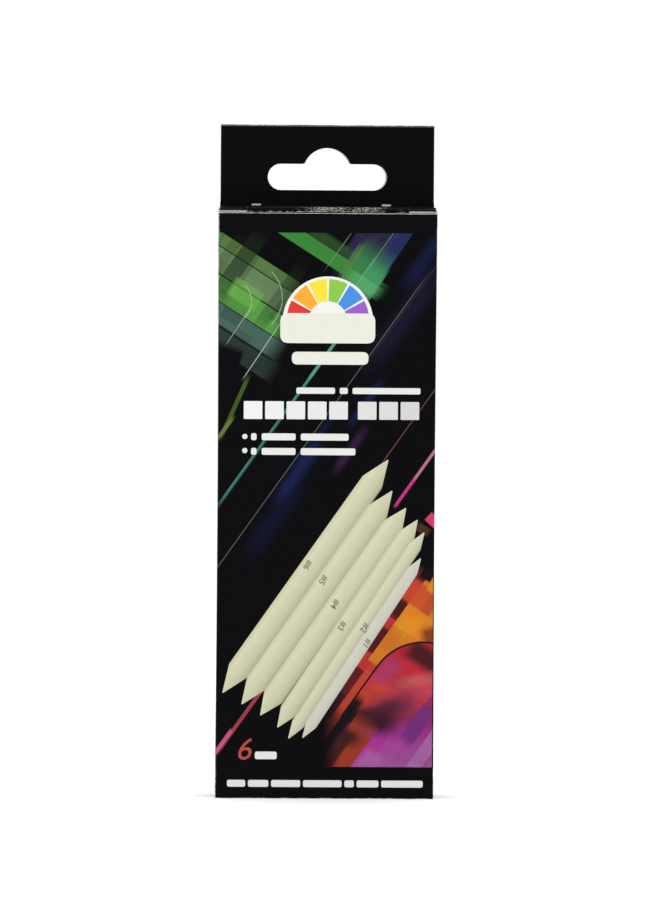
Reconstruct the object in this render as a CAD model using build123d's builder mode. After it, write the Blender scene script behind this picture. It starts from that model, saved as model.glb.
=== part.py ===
"""Boxed set of six paper blending stumps: a tuck-end carton with a hang tab, and the stumps in it.

Millimetres, +Z up, the front faces -Y, and the origin is under the middle of the carton's base.
The carton is one die-cut sheet of board, so each panel between two creases is a piece here.
"""

import os

from build123d import *

# Stumps: size number, diameter, length and length of each pointed end
stumps = [
    (6, 13.6, 150.0, 16.9),
    (5, 12.0, 138.0, 15.6),
    (4, 10.5, 133.0, 14.4),
    (3, 8.6, 132.0, 12.9),
    (2, 6.4, 130.0, 11.1),
    (1, 5.2, 113.0, 10.2),
]
largest_tortillon = 3  # sizes 1 to 3 are rolled round a core that is drawn out again
core_radius = 0.4
tip_radius = 0.9
tip_round = 0.4
shoulder_round = 6.0
seat_gap = 0.3  # a stump's slack from what it leans on and stands on

# Carton board and its creases
board = 0.45  # thickness of the folding boxboard
bend_radius = 0.6  # outside radius of the upright creases
crease_gap = 0.05  # slack between a hinged flap's round root and its parent's edge
flap_gap = 0.2  # slack between a closure panel and the dust flaps under it

# Carton sleeve, made to fit the row of stumps
row_slack = 0.4  # between two stumps, and between the row and each side
depth_slack = 1.5  # between the thickest stump and the front and back
head_room = 10.5  # from the longest stump's length to the front panel's height
lid_rise = 1.7  # the closed lid stands this far above the front panel's cut edge
glue_flap_width = 12.0
lap_past_bend = 0.3  # the back panel's raw edge runs this far past the glue flap's bend

# Hang tab: two glued plies with a euro slot
tab_inset = 0.5  # the tab is narrower than the carton at each side
tab_height = 23.0  # from the back panel's top crease to the fold over the tab
tab_corner = 0.25
slot_length = 32.8
slot_height = 7.2
slot_rise = 8.6  # from the back panel's top crease to the middle of the slot
dome_chord = 12.6
dome_rise = 4.4  # top of the dome above the straight slot
dome_flare = 0.8  # the dome's foot runs out into the slot with this radius
ply_shift = 0.4  # the folded front ply never lands exactly on the rear one

# Closure panels and tuck flaps
closure_inset = 0.4  # the lid and the bottom panel are narrower than the carton at each side
tuck_setback = 0.9  # from the front panel's inner face to the tuck flap
tuck_length = 8.0
tuck_inset = 1.0  # the tuck flap is narrower than the carton at each side
tuck_corner = 4.0
tuck_crease_gap = 0.37  # wide enough for the tuck flap to fold in by half a right angle
slit_length = 7.6  # the tuck crease is slit this far in from each end, for the slit lock
slit_slack = 0.1  # between the tuck flap's root and the lip beside it
slit_drop = 0.9  # the tuck flap's shoulders lie this far past the crease
lip_reach = 0.45  # the raw lips beside the tuck crease stand this far in front of it
lip_corner = 0.8

# Dust flaps
dust_length = 16.0
dust_front_inset = 2.2  # from the carton's front to the flap's front edge, at its root
dust_front_taper = 0.9
dust_rear_inset = 1.6
dust_rear_taper = 3.8
dust_shoulder = 1.5  # the rear edge starts to taper this far from the crease
dust_corner = 2.0

# Places that follow from the sizes above
carton_width = sum(diameter for _, diameter, _, _ in stumps) + (len(stumps) + 1) * row_slack + 2 * board
carton_depth = max(diameter for _, diameter, _, _ in stumps) + depth_slack + 2 * board
front_height = max(length for _, _, length, _ in stumps) + head_room
half_width = carton_width / 2
half_depth = carton_depth / 2
flat_edge = half_depth - bend_radius
half_board = board / 2
lid_axis_z = front_height + lid_rise - half_board
crease_z = lid_axis_z - half_board
top_dust_axis_z = crease_z - flap_gap - half_board
side_top = top_dust_axis_z - half_board - crease_gap
bottom_dust_axis_z = board + flap_gap + half_board
side_bottom = bottom_dust_axis_z + half_board + crease_gap
back_bottom = board + crease_gap
glue_face = half_depth - 2 * board
glue_bend_y = half_depth - board - bend_radius
lid_axis_y = glue_face - crease_gap - half_board
bottom_axis_y = half_depth - half_board
tuck_y = -half_depth + board + tuck_setback + half_board
tuck_hinge_half = half_width - closure_inset - slit_length
dust_root_x = half_width - half_board


def region(x_low, x_high, y_low, y_high, mode=Mode.ADD):
    """Draw the rectangle between two corners in the open sketch."""
    with Locations(((x_low + x_high) / 2, (y_low + y_high) / 2)):
        Rectangle(x_high - x_low, y_high - y_low, mode=mode)


def sleeve_section():
    """Draw the sleeve's section: board bent round four upright creases."""
    RectangleRounded(carton_width, carton_depth, bend_radius)
    inner_radius = bend_radius - board
    RectangleRounded(carton_width - 2 * board, carton_depth - 2 * board, inner_radius, mode=Mode.SUBTRACT)


def write(piece, name):
    """Label a finished piece and write it to a file of its own."""
    piece.part.label = name
    export_step(piece.part, f"parts/{name}.step")


def make_front_panel():
    """The front panel, with the upright creases at both its edges."""
    with BuildPart() as panel:
        with BuildSketch(Plane.XY):
            sleeve_section()
            region(-half_width, half_width, -half_depth, -flat_edge, mode=Mode.INTERSECT)
        extrude(amount=front_height)
    write(panel, "front_panel")


def make_back_panel():
    """The back panel, with its left crease and the raw right edge that laps the glue flap."""
    with BuildPart() as panel:
        with BuildSketch(Plane.XY.offset(back_bottom)):
            sleeve_section()
            region(-half_width, half_width - bend_radius, flat_edge, half_depth, mode=Mode.INTERSECT)
            lap_end = half_width - bend_radius + lap_past_bend
            region(half_width - 2 * bend_radius, lap_end, half_depth - board, half_depth)
        extrude(amount=crease_z - back_bottom)
    write(panel, "back_panel")


def make_side_panel(name, side, rear_edge):
    """A flat side panel between its two upright creases."""
    inner_x = half_width - board
    x_low, x_high = sorted((side * inner_x, side * half_width))
    with BuildPart() as panel:
        with BuildSketch(Plane.XY.offset(side_bottom)):
            region(x_low, x_high, -flat_edge, rear_edge)
        extrude(amount=side_top - side_bottom)
    write(panel, name)


def make_glue_flap():
    """The glue flap, bent off the right side panel and stuck to the inside of the back panel."""
    bend_x = half_width - bend_radius
    with BuildPart() as flap:
        with BuildSketch(Plane.XY.offset(side_bottom)):
            with Locations((bend_x, glue_bend_y)):
                Circle(bend_radius)
                Circle(bend_radius - board, mode=Mode.SUBTRACT)
            region(bend_x, half_width, glue_bend_y, glue_bend_y + bend_radius, mode=Mode.INTERSECT)
            region(bend_x - glue_flap_width, bend_x, glue_face, glue_face + board)
        extrude(amount=side_top - side_bottom)
    write(flap, "glue_flap")


def euro_slot():
    """Cut the euro slot in the open sketch: a long slot with a dome over its middle."""
    dome_radius = (dome_chord**2 / 4 + dome_rise**2) / (2 * dome_rise)
    dome_z = slot_height / 2 + dome_rise - dome_radius
    with BuildSketch(mode=Mode.PRIVATE) as slot:
        with Locations((0, dome_z)):
            Circle(dome_radius)
        region(-dome_radius, dome_radius, -2 * dome_radius, 0, mode=Mode.SUBTRACT)
        SlotOverall(slot_length, slot_height)
        feet = slot.vertices().filter_by_position(Axis.Y, slot_height / 2 - 0.01, slot_height / 2 + 0.01)
        fillet(feet.filter_by_position(Axis.X, -dome_chord / 2 - 0.5, dome_chord / 2 + 0.5), dome_flare)
    return slot.sketch


def make_tab_ply(name, outer_y, slot_x):
    """One ply of the hang tab: a sheet with the slot, rounded where it folds over the top."""
    towards_fold = 1 if outer_y < half_depth else -1
    tab_half = half_width - tab_inset
    slot = euro_slot()
    face = Plane(origin=(0, outer_y, crease_z), x_dir=(1, 0, 0), z_dir=(0, -1, 0))
    with BuildPart() as ply:
        with BuildSketch(face) as outline:
            region(-tab_half, tab_half, 0, tab_height)
            fillet(outline.vertices().group_by(Axis.Y)[-1], tab_corner)
            add(slot.moved(Location((slot_x, slot_rise))), mode=Mode.SUBTRACT)
        extrude(amount=-towards_fold * board)
        outside = ply.faces().filter_by(Axis.Y).sort_by(Axis.Y)[0 if towards_fold > 0 else -1]
        fold = outside.edges().filter_by(Axis.X).sort_by(Axis.Z)[-1]
        fillet(fold, board * 0.9)
    write(ply, name)


def make_closure_panel(name, axis_y, axis_z):
    """The lid or the bottom panel: a round root, and raw lips where the tuck crease is slit."""
    panel_half = half_width - closure_inset
    crease_y = tuck_y + half_board + tuck_crease_gap
    notch_half = tuck_hinge_half + slit_slack
    lip_y = tuck_y - half_board - lip_reach
    with BuildPart() as panel:
        with BuildSketch(Plane.XY.offset(axis_z - half_board)) as outline:
            region(-panel_half, panel_half, lip_y, axis_y)
            front_corners = outline.vertices().group_by(Axis.Y)[0]
            fillet(front_corners, lip_corner)
            region(-notch_half, notch_half, lip_y, crease_y, mode=Mode.SUBTRACT)
        extrude(amount=board)
        with BuildSketch(Plane.YZ):
            with Locations((axis_y, axis_z)):
                Circle(half_board)
        extrude(amount=panel_half, both=True)
    write(panel, name)


def make_tuck_flap(name, axis_z, inward):
    """A tuck flap: a round root along the crease, shoulders past the slits and a rounded blade."""
    tuck_half = half_width - tuck_inset
    face = Plane(origin=(0, tuck_y, axis_z), x_dir=(1, 0, 0), z_dir=(0, -1, 0))
    blade_ends = sorted((inward * slit_drop, inward * tuck_length))
    web_ends = sorted((0, inward * slit_drop))
    with BuildPart() as flap:
        with BuildSketch(face) as outline:
            region(-tuck_half, tuck_half, *blade_ends)
            blade_tip = outline.vertices().group_by(Axis.Y)[0 if inward < 0 else -1]
            fillet(blade_tip, tuck_corner)
            region(-tuck_hinge_half, tuck_hinge_half, *web_ends)
        extrude(amount=half_board, both=True)
        with BuildSketch(Plane.YZ):
            with Locations((tuck_y, axis_z)):
                Circle(half_board)
        extrude(amount=tuck_hinge_half, both=True)
    write(flap, name)


def make_dust_flap(name, side, axis_z):
    """A dust flap: a round root on the side panel's crease and a tapered, round-cornered blade."""
    root_x = side * dust_root_x
    end_x = side * (dust_root_x - dust_length)
    shoulder_x = side * (dust_root_x - dust_shoulder)
    front_y = -half_depth + dust_front_inset
    rear_y = half_depth - dust_rear_inset
    with BuildPart() as flap:
        with BuildSketch(Plane.XY.offset(axis_z - half_board)) as outline:
            with BuildLine():
                Polyline(
                    (root_x, front_y),
                    (end_x, front_y + dust_front_taper),
                    (end_x, rear_y - dust_rear_taper),
                    (shoulder_x, rear_y),
                    (root_x, rear_y),
                    close=True,
                )
            make_face()
            fillet(outline.vertices().group_by(Axis.X)[0 if side > 0 else -1], dust_corner)
        extrude(amount=board)
        with BuildSketch(Plane.XZ.offset(-front_y)):
            with Locations((root_x, axis_z)):
                Circle(half_board)
        extrude(amount=front_y - rear_y)
    write(flap, name)


def stands_on_dust_flap(x):
    """Whether a stump's tip at x is over a dust flap rather than between the two."""
    return abs(x) + tip_radius + seat_gap / 2 > dust_root_x - dust_length


def make_stump(size, diameter, length, cone_length, x):
    """A rolled paper stump with two pointed ends, standing in the carton against its back."""
    radius = diameter / 2
    core = core_radius if size <= largest_tortillon else 0
    back_face = glue_face if x + radius > half_width - bend_radius - glue_flap_width else half_depth - board
    y = back_face - seat_gap - radius
    floor = bottom_dust_axis_z + half_board if stands_on_dust_flap(x) else board
    face = Plane(origin=(x, y, floor + seat_gap), x_dir=(1, 0, 0), z_dir=(0, -1, 0))
    with BuildPart() as piece:
        with BuildSketch(face) as profile:
            with BuildLine():
                Polyline(
                    (core, 0),
                    (tip_radius, 0),
                    (radius, cone_length),
                    (radius, length - cone_length),
                    (tip_radius, length),
                    (core, length),
                    close=True,
                )
            make_face()
            fillet(profile.vertices().group_by(Axis.X)[-1], shoulder_round)
            rims = profile.vertices().filter_by_position(Axis.X, tip_radius - 0.01, tip_radius + 0.01)
            fillet(rims, tip_round)
        revolve(axis=Axis((x, y, 0), (0, 0, 1)))
    write(piece, f"stump_{size}")


def make_stumps():
    """All the stumps, side by side in one row with the same slack between them."""
    edge = board - half_width
    for size, diameter, length, cone_length in stumps:
        make_stump(size, diameter, length, cone_length, edge + row_slack + diameter / 2)
        edge += row_slack + diameter


os.makedirs("parts", exist_ok=True)
make_front_panel()
make_back_panel()
make_side_panel("left_side_panel", -1, flat_edge)
make_side_panel("right_side_panel", 1, glue_bend_y)
make_glue_flap()
make_tab_ply("hang_tab_rear_ply", half_depth, -ply_shift)
make_tab_ply("hang_tab_front_ply", half_depth - 2 * board, 0)
make_closure_panel("lid_panel", lid_axis_y, lid_axis_z)
make_tuck_flap("lid_tuck_flap", lid_axis_z, -1)
make_dust_flap("top_dust_flap_left", -1, top_dust_axis_z)
make_dust_flap("top_dust_flap_right", 1, top_dust_axis_z)
make_closure_panel("bottom_panel", bottom_axis_y, half_board)
make_tuck_flap("bottom_tuck_flap", half_board, 1)
make_dust_flap("bottom_dust_flap_left", -1, bottom_dust_axis_z)
make_dust_flap("bottom_dust_flap_right", 1, bottom_dust_axis_z)
make_stumps()
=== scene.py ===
import math

import bmesh
import bpy
from mathutils import Matrix, Vector


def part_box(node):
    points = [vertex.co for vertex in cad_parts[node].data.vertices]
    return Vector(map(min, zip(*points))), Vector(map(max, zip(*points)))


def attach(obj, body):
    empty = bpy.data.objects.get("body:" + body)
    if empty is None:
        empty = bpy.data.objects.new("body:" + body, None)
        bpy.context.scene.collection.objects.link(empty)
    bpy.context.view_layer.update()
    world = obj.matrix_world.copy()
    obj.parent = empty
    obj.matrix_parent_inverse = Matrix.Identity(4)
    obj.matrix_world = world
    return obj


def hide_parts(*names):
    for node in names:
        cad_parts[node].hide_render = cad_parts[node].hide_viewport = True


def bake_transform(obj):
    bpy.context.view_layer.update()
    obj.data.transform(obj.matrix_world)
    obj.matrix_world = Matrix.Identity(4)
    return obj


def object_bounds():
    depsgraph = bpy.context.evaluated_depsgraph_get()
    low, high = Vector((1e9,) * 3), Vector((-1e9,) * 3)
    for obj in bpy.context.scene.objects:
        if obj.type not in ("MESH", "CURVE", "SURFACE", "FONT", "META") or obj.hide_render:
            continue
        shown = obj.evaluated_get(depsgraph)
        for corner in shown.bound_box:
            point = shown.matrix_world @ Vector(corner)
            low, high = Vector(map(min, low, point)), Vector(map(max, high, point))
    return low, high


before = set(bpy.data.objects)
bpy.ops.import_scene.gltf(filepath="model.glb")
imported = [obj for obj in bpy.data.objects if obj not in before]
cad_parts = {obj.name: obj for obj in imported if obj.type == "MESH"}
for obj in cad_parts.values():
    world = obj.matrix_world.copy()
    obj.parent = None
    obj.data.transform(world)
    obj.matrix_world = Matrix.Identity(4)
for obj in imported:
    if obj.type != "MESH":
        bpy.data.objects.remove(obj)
cad_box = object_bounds()

# Floor, light and camera.
# A wide pale floor in a white room, with soft boxes above and at both sides. The camera looks almost
# square at the front from far off, a little from above, and leans very slightly.

MM = 0.001
pack_low, pack_high = (Vector(corner) for corner in cad_box)
front_low, front_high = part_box("front_panel")

bpy.context.scene.view_settings.view_transform = "Standard"


def plain_material(name, colour, roughness):
    """A Principled material with its colour and roughness set, and its shader."""
    material = bpy.data.materials.new(name)
    material.use_nodes = True
    shader = material.node_tree.nodes["Principled BSDF"]
    shader.inputs["Base Color"].default_value = (*colour, 1)
    shader.inputs["Roughness"].default_value = roughness
    return material, shader


def mesh_object(name, vertices, faces):
    """A new mesh object, linked into the scene."""
    mesh = bpy.data.meshes.new(name)
    mesh.from_pydata(vertices, [], faces)
    mesh.validate()
    piece = bpy.data.objects.new(name, mesh)
    bpy.context.scene.collection.objects.link(piece)
    return piece


FLOOR_RADIUS, FLOOR_SIDES = 9.0, 64
floor_angles = [2 * math.pi * k / FLOOR_SIDES for k in range(FLOOR_SIDES)]
floor_rim = [(FLOOR_RADIUS * math.cos(a), FLOOR_RADIUS * math.sin(a), 0) for a in floor_angles]
floor = mesh_object("studio_floor", floor_rim, [tuple(range(FLOOR_SIDES))])
floor.data.materials.append(plain_material("pale floor", (0.95, 0.95, 0.95), 0.9)[0])


def soft_box(name, place, target, size, power):
    """A square studio light that faces its target."""
    lamp = bpy.data.lights.new(name, "AREA")
    lamp.size, lamp.energy = size, power
    lamp_object = bpy.data.objects.new(name, lamp)
    bpy.context.scene.collection.objects.link(lamp_object)
    lamp_object.location = place
    lamp_object.rotation_euler = (Vector(target) - Vector(place)).to_track_quat("-Z", "Y").to_euler()


MIDDLE = Vector((0, 0, (pack_low.z + pack_high.z) / 2))
soft_box("top box", (0, -0.1, 1.1), (0, 0, 0), 1.1, 5)
soft_box("left box", (-0.8, -0.7, 0.55), MIDDLE, 0.7, 1.1)
soft_box("right box", (0.9, -0.6, 0.4), MIDDLE, 0.7, 0.5)

world = bpy.data.worlds.new("studio")
world.use_nodes = True
room = world.node_tree.nodes["Background"]
room.inputs["Color"].default_value = (1, 1, 1, 1)
room.inputs["Strength"].default_value = 1.05
bpy.context.scene.world = world

CAMERA_LENS = 300.0
IMAGE_WIDTH, IMAGE_HEIGHT = 663, 905
FRONT_SHARE = 0.3305  # how much of the picture's width the front panel fills
LOOK_DOWN = math.radians(2.0)
LOOK_RIGHT = math.radians(1.2)
LEAN = math.radians(0.4)
AIM = Vector((0.00135, front_low.y, front_low.z + 0.0950))

camera_data = bpy.data.cameras.new("camera")
camera_data.lens = CAMERA_LENS
camera_data.clip_start = 0.01
seen_width = (front_high.x - front_low.x) / FRONT_SHARE
seen_height = seen_width * IMAGE_HEIGHT / IMAGE_WIDTH
camera_distance = seen_height * CAMERA_LENS / camera_data.sensor_width
camera = bpy.data.objects.new("camera", camera_data)
bpy.context.scene.collection.objects.link(camera)
back = Vector((-math.sin(LOOK_RIGHT), -math.cos(LOOK_RIGHT), math.tan(LOOK_DOWN))).normalized()
camera.location = AIM + camera_distance * back
camera.rotation_euler = (math.pi / 2 - LOOK_DOWN, 0, -LOOK_RIGHT)
camera.rotation_euler = (camera.rotation_euler.to_matrix() @ Matrix.Rotation(LEAN, 3, "Z")).to_euler()
bpy.context.scene.camera = camera

# Folding boxboard.
# The carton is one sheet of white-lined board, 0.45 mm thick: coloured ink under a satin varnish
# outside, uncoated white-grey fibre inside, and a raw edge where it was cut. Creases wear first.

BOARD = 0.00045


def fill(tree, slot, value):
    """A socket linked to another, or set to a number, a triple or a colour."""
    if isinstance(value, bpy.types.NodeSocket):
        tree.links.new(value, slot)
    else:
        slot.default_value = (*value, 1) if slot.type == "RGBA" else value


def placed(tree, kind, values=(), **settings):
    """A new node in the tree, with its settings; values give its inputs by name or number."""
    node = tree.nodes.new("ShaderNode" + kind)
    for setting, choice in settings.items():
        setattr(node, setting, choice)
    for slot, value in dict(values).items():
        fill(tree, node.inputs[slot], value)
    return node


def maths(tree, operation, *values):
    """A Math node's result; each value is a number or a socket."""
    return placed(tree, "Math", enumerate(values), operation=operation).outputs[0]


def vector_maths(tree, operation, *values):
    """A Vector Math node's result; each value is a triple or a socket."""
    node = placed(tree, "VectorMath", enumerate(values), operation=operation)
    return node.outputs["Value" if operation in ("LENGTH", "DISTANCE") else "Vector"]


def ramp_down(tree, value, full, none):
    """1 up to full, 0 from none on, and smooth between."""
    limits = {"Value": value, "From Min": full, "From Max": none, "To Min": 1, "To Max": 0}
    return placed(tree, "MapRange", limits, interpolation_type="SMOOTHSTEP").outputs["Result"]


def noise(tree, place, scale, detail=3.0, roughness=0.55):
    """A Noise Texture's value."""
    values = {"Vector": place, "Scale": scale, "Detail": detail, "Roughness": roughness}
    return placed(tree, "TexNoise", values).outputs["Fac"]


def mixed(tree, mask, under, over):
    """The colour under, covered by over where the mask is 1."""
    return placed(tree, "Mix", {0: mask, 6: under, 7: over}, data_type="RGBA").outputs[2]


def parts(tree, vector):
    """A vector's three numbers."""
    return placed(tree, "SeparateXYZ", {0: vector}).outputs


def flat_place(tree, across, up):
    """Two numbers as a place on a printed sheet."""
    return placed(tree, "CombineXYZ", {0: across, 1: up}).outputs[0]


def turned(tree, vector, angle):
    """A vector turned back by an angle about Z."""
    return placed(tree, "VectorRotate", {"Vector": vector, "Angle": angle}, rotation_type="Z_AXIS").outputs[0]


def bumped(tree, shader, height, strength, depth):
    """A fine relief on the shader's surface."""
    bump = placed(tree, "Bump", {"Strength": strength, "Distance": depth, "Height": height})
    fill(tree, shader.inputs["Normal"], bump.outputs["Normal"])


def new_group(name, inputs, outputs):
    """A shader node group with named sockets, its inputs by name and its outputs by name."""
    group = bpy.data.node_groups.new(name, "ShaderNodeTree")
    for socket_name, value in inputs.items():
        kind = "Float" if isinstance(value, float) else "Vector"
        socket = group.interface.new_socket(socket_name, in_out="INPUT", socket_type=f"NodeSocket{kind}")
        if value is not None:
            socket.default_value = value
    for socket_name in outputs:
        group.interface.new_socket(socket_name, in_out="OUTPUT", socket_type="NodeSocketFloat")
    return group, group.nodes.new("NodeGroupInput").outputs, group.nodes.new("NodeGroupOutput").inputs


def use(tree, group, **values):
    """A group in the tree, with its sockets filled; underscores stand for spaces. Its outputs come back."""
    node = placed(tree, "Group", node_tree=group)
    for socket_name, value in values.items():
        fill(tree, node.inputs[socket_name.replace("_", " ")], value)
    return node.outputs


# Board fibre: the fine mottle and tooth of pressed paper, from a place in millimetres.
board_fibre, given, result = new_group("board fibre", {"Place": None}, ["Height", "Mottle"])
tooth = noise(board_fibre, given["Place"], 5.0, 4.0, 0.7)
strands = noise(board_fibre, vector_maths(board_fibre, "MULTIPLY", given["Place"], (1.2, 6.0, 1.2)), 2.2, 2.0)
fill(board_fibre, result["Height"], maths(board_fibre, "MULTIPLY", tooth, strands))
fill(board_fibre, result["Mottle"], noise(board_fibre, given["Place"], 0.9, 3.0))

# Crease wear: flecks where the ink has cracked off a fold. Distance is how far the fold's line is.
crease_wear, given, result = new_group(
    "crease wear", {"Place": None, "Distance": 0.0, "Reach": 0.6, "Amount": 0.5}, ["Worn"]
)
near = ramp_down(crease_wear, given["Distance"], 0.0, given["Reach"])
flecks = noise(crease_wear, given["Place"], 2.6, 5.0, 0.75)
patches = noise(crease_wear, given["Place"], 0.22, 2.0)
grit = maths(crease_wear, "ADD", flecks, maths(crease_wear, "MULTIPLY", patches, 0.45))
limit = maths(crease_wear, "SUBTRACT", 1.05, maths(crease_wear, "MULTIPLY", given["Amount"], near))
worn = ramp_down(crease_wear, maths(crease_wear, "SUBTRACT", limit, grit), -0.03, 0.05)
fill(crease_wear, result["Worn"], maths(crease_wear, "MULTIPLY", worn, near))

INK_BLACK = (0.0012, 0.0012, 0.0018)
VARNISH_HAZE = (0.45, 0.47, 0.52)
HAZE = 0.002  # how much the varnish greys the ink where the board is most mottled
VARNISH_GLOSS = 0.035
RAW_BOARD = (0.60, 0.575, 0.53)
BOARD_INSIDE = (0.66, 0.65, 0.61)


def board_place(tree):
    """Object coordinates in millimetres, as a vector and its three numbers."""
    coordinates = placed(tree, "TexCoord").outputs["Object"]
    place_mm = vector_maths(tree, "MULTIPLY", coordinates, (1000, 1000, 1000))
    return place_mm, *parts(tree, place_mm)


def printed_board(name, art=None, wear=None):
    """Varnished ink on board. art(tree, place, x, y, z) gives the ink's colour, and wear the bare flecks."""
    material, shader = plain_material(name, INK_BLACK, 0.4)
    tree = material.node_tree
    place = board_place(tree)
    fibre = use(tree, board_fibre, Place=place[0])
    haze = maths(tree, "MULTIPLY", fibre["Mottle"], HAZE)
    ink = mixed(tree, haze, art(tree, *place) if art else INK_BLACK, VARNISH_HAZE)
    roughness = maths(tree, "MULTIPLY_ADD", fibre["Mottle"], 0.16, 0.34)
    if wear:
        worn_mask = wear(tree, *place)
        ink = mixed(tree, worn_mask, ink, RAW_BOARD)
        roughness = maths(tree, "MULTIPLY_ADD", worn_mask, 0.4, roughness)
    fill(tree, shader.inputs["Base Color"], ink)
    fill(tree, shader.inputs["Roughness"], roughness)
    bumped(tree, shader, fibre["Height"], 0.12, 0.00003)
    shader.inputs["Specular IOR Level"].default_value = VARNISH_GLOSS
    return material


def bare_board(name, colour):
    """Uncoated board: matt, mottled and a little hairy."""
    material, shader = plain_material(name, colour, 0.92)
    tree = material.node_tree
    fibre = use(tree, board_fibre, Place=board_place(tree)[0])
    dark = tuple(0.72 * part for part in colour)
    fill(tree, shader.inputs["Base Color"], mixed(tree, fibre["Mottle"], dark, colour))
    bumped(tree, shader, fibre["Height"], 0.5, 0.00006)
    shader.inputs["Sheen Weight"].default_value = 0.15
    return material


raw_edge = bare_board("raw board edge", RAW_BOARD)
inside_board = bare_board("uncoated board inside", BOARD_INSIDE)

HALF_WIDTH, HALF_DEPTH = front_high.x, -front_low.y
BEND = 0.0006  # outside radius of an upright crease
WAIST = 0.00025  # how far each side panel is drawn in, halfway up
SKIN = 0.00003  # the modelled sheets lie this far inside the outline, under the printed pieces


def arc(centre, radius, start, end, count):
    """Points on an arc, with its angles in degrees."""
    angles = [math.radians(start + (end - start) * k / count) for k in range(count + 1)]
    return [(centre[0] + radius * math.cos(a), centre[1] + radius * math.sin(a)) for a in angles]


def board_sheet(name, outer, inner, low, high, steps, upright, ink, shape=None):
    """A bent sheet: a section with an outer and an inner side, drawn out along Z if upright, or along X."""
    section = outer + inner[::-1]
    count = len(section)
    points, faces, kinds = [], [], []
    for k in range(steps + 1):
        along = low + (high - low) * k / steps
        for a, b in section:
            point = Vector((a, b, along) if upright else (along, a, b))
            points.append(shape(point) if shape else point)
    for k in range(steps):
        for i in range(count):
            j = (i + 1) % count
            faces.append((k * count + i, k * count + j, (k + 1) * count + j, (k + 1) * count + i))
            kinds.append(0 if i < len(outer) - 1 else 1 if len(outer) <= i < count - 1 else 2)
    for base in (0, steps * count):
        for i in range(len(outer) - 1):
            j = i * (len(inner) - 1) // (len(outer) - 1)
            j_next = (i + 1) * (len(inner) - 1) // (len(outer) - 1)
            corners = [base + i, base + i + 1, base + count - 1 - j_next, base + count - 1 - j]
            faces.append(tuple(dict.fromkeys(corners)))
            kinds.append(2)
    return finished_sheet(name, points, faces, kinds, ink)


def cut_sheet(name, outline, place, ink):
    """A flat die-cut sheet: an outline as thick as the board. place(u, v, w) puts it in space."""
    count = len(outline)
    points = [place(u, v, w) for w in (0, BOARD) for u, v in outline]
    faces = [tuple(range(count)), tuple(range(2 * count - 1, count - 1, -1))]
    faces += [(i, (i + 1) % count, count + (i + 1) % count, count + i) for i in range(count)]
    return finished_sheet(name, points, faces, [0, 1] + [2] * count, ink)


def finished_sheet(name, points, faces, kinds, ink):
    """The sheet's mesh: ink on the printed side, then the bare inner side and the raw edges."""
    sheet_object = mesh_object(name, [tuple(point) for point in points], faces)
    for material in (ink, inside_board, raw_edge):
        sheet_object.data.materials.append(material)
    if len(sheet_object.data.polygons) == len(kinds):
        sheet_object.data.polygons.foreach_set("material_index", kinds)
    return smoothed(sheet_object, 35)


def smoothed(piece, sharp_from):
    """The piece with its faces turned outward, and shaded smooth up to an angle in degrees."""
    mesh = piece.data
    solid = bmesh.new()
    solid.from_mesh(mesh)
    bmesh.ops.recalc_face_normals(solid, faces=solid.faces)
    solid.to_mesh(mesh)
    solid.free()
    mesh.shade_smooth()
    mesh.set_sharp_from_angle(angle=math.radians(sharp_from))
    return piece


def drawn_in(point):
    """The sleeve's slight waist: its sides are pulled in a little, most halfway up."""
    share = math.sin(math.pi * min(max(point.z / front_high.z, 0), 1))
    return Vector((point.x * (1 - WAIST * share / HALF_WIDTH), point.y, point.z))


def rounded_outline(corners):
    """An outline from (u, v, radius) corners, each rounded by its radius."""
    outline = []
    for k, (u, v, radius) in enumerate(corners):
        here = Vector((u, v))
        before = Vector(corners[k - 1][:2]) - here
        after = Vector(corners[(k + 1) % len(corners)][:2]) - here
        if not radius:
            outline.append((u, v))
            continue
        half = before.angle(after) / 2
        start = here + before.normalized() * radius / math.tan(half)
        end = here + after.normalized() * radius / math.tan(half)
        for step in range(7):
            t = step / 6
            outline.append(tuple((1 - t) ** 2 * start + 2 * t * (1 - t) * here + t**2 * end))
    return outline


# Front panel.
# The printed face of the sleeve, with the upright crease at each side. It carries the design: slanting
# light beams, a patchwork of warm tints, and a picture of the six stumps laid side by side.

# Ink band: a straight band at an angle, with its own softness at the sides and at the ends.
ink_band, given, result = new_group(
    "ink band",
    {"Place": None, "Middle": None, "Angle": 0.0, "Length": 10.0, "Width": 1.0, "Side softness": 0.1,
     "End softness": 0.1},
    ["Mask"],
)
offset = vector_maths(ink_band, "SUBTRACT", given["Place"], given["Middle"])
offset = turned(ink_band, offset, maths(ink_band, "MULTIPLY", given["Angle"], -1))
beside = parts(ink_band, vector_maths(ink_band, "ABSOLUTE", offset))
fades = []
for along, size, softness in ((0, "Length", "End softness"), (1, "Width", "Side softness")):
    half = maths(ink_band, "MULTIPLY", given[size], 0.5)
    spread = maths(ink_band, "MULTIPLY", given[softness], 0.5)
    limits = [maths(ink_band, operation, half, spread) for operation in ("SUBTRACT", "ADD")]
    fades.append(ramp_down(ink_band, beside[along], *limits))
fill(ink_band, result["Mask"], maths(ink_band, "MULTIPLY", *fades))

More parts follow.
